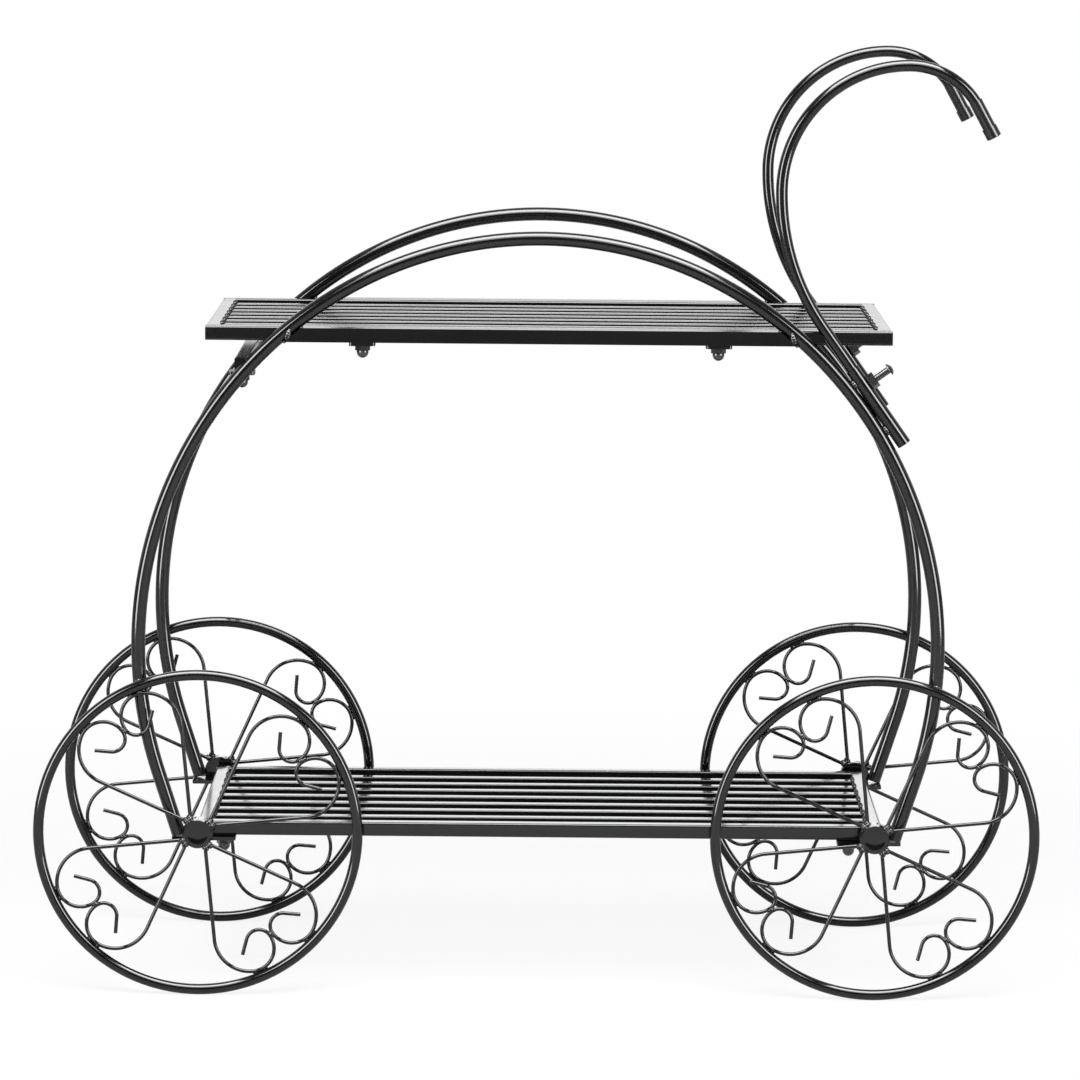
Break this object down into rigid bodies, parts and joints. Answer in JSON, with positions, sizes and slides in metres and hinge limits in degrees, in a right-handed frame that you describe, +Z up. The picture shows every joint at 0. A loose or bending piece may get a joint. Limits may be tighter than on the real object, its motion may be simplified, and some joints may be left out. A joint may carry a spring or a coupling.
{
  "type": "flower cart stand",
  "caption": "Two-tier flower cart plant stand of black painted steel, with hooped side frames, scroll-spoked wheels, slatted shelves and a hooked push handle",
  "frame": {"origin": "centre of the footprint, on the floor under the middle of the bounding box", "axes": "+X towards the push handle, +Y away from the near side, +Z up"},
  "size_m": [0.855, 0.3118, 0.7992],
  "materials": {
    "frame_paint": "glossy black powder coat on steel",
    "hardware": "black coated steel screws and nuts",
    "cap_plastic": "satin black plastic"
  },
  "bodies": {
    "root": {"near_arch": "frame_paint", "near_chord_rail": "frame_paint", "near_left_rim": "frame_paint", "near_left_hub": "frame_paint", "near_left_scrolls": "frame_paint", "near_right_rim": "frame_paint", "near_right_hub": "frame_paint", "near_right_scrolls": "frame_paint", "far_arch": "frame_paint", "far_chord_rail": "frame_paint", "far_left_rim": "frame_paint", "far_left_hub": "frame_paint", "far_left_scrolls": "frame_paint", "far_right_rim": "frame_paint", "far_right_hub": "frame_paint", "far_right_scrolls": "frame_paint", "upper_shelf_front_rail": "frame_paint", "upper_shelf_back_rail": "frame_paint", "upper_shelf_left_end_bar": "frame_paint", "upper_shelf_right_end_bar": "frame_paint", "upper_shelf_slats": "frame_paint", "lower_shelf_front_rail": "frame_paint", "lower_shelf_back_rail": "frame_paint", "lower_shelf_left_end_bar": "frame_paint", "lower_shelf_right_end_bar": "frame_paint", "lower_shelf_slats": "frame_paint", "upper_shelf_tabs": "frame_paint", "lower_shelf_brackets": "frame_paint", "cross_bar": "frame_paint", "cross_bar_tabs": "frame_paint", "studs": "hardware", "acorn_nuts": "hardware", "handle_sockets": "frame_paint", "near_handle": "frame_paint", "far_handle": "frame_paint", "handle_end_caps": "cap_plastic", "clamp_nuts": "hardware", "clamp_screws": "hardware"}
  },
  "joints": []
}
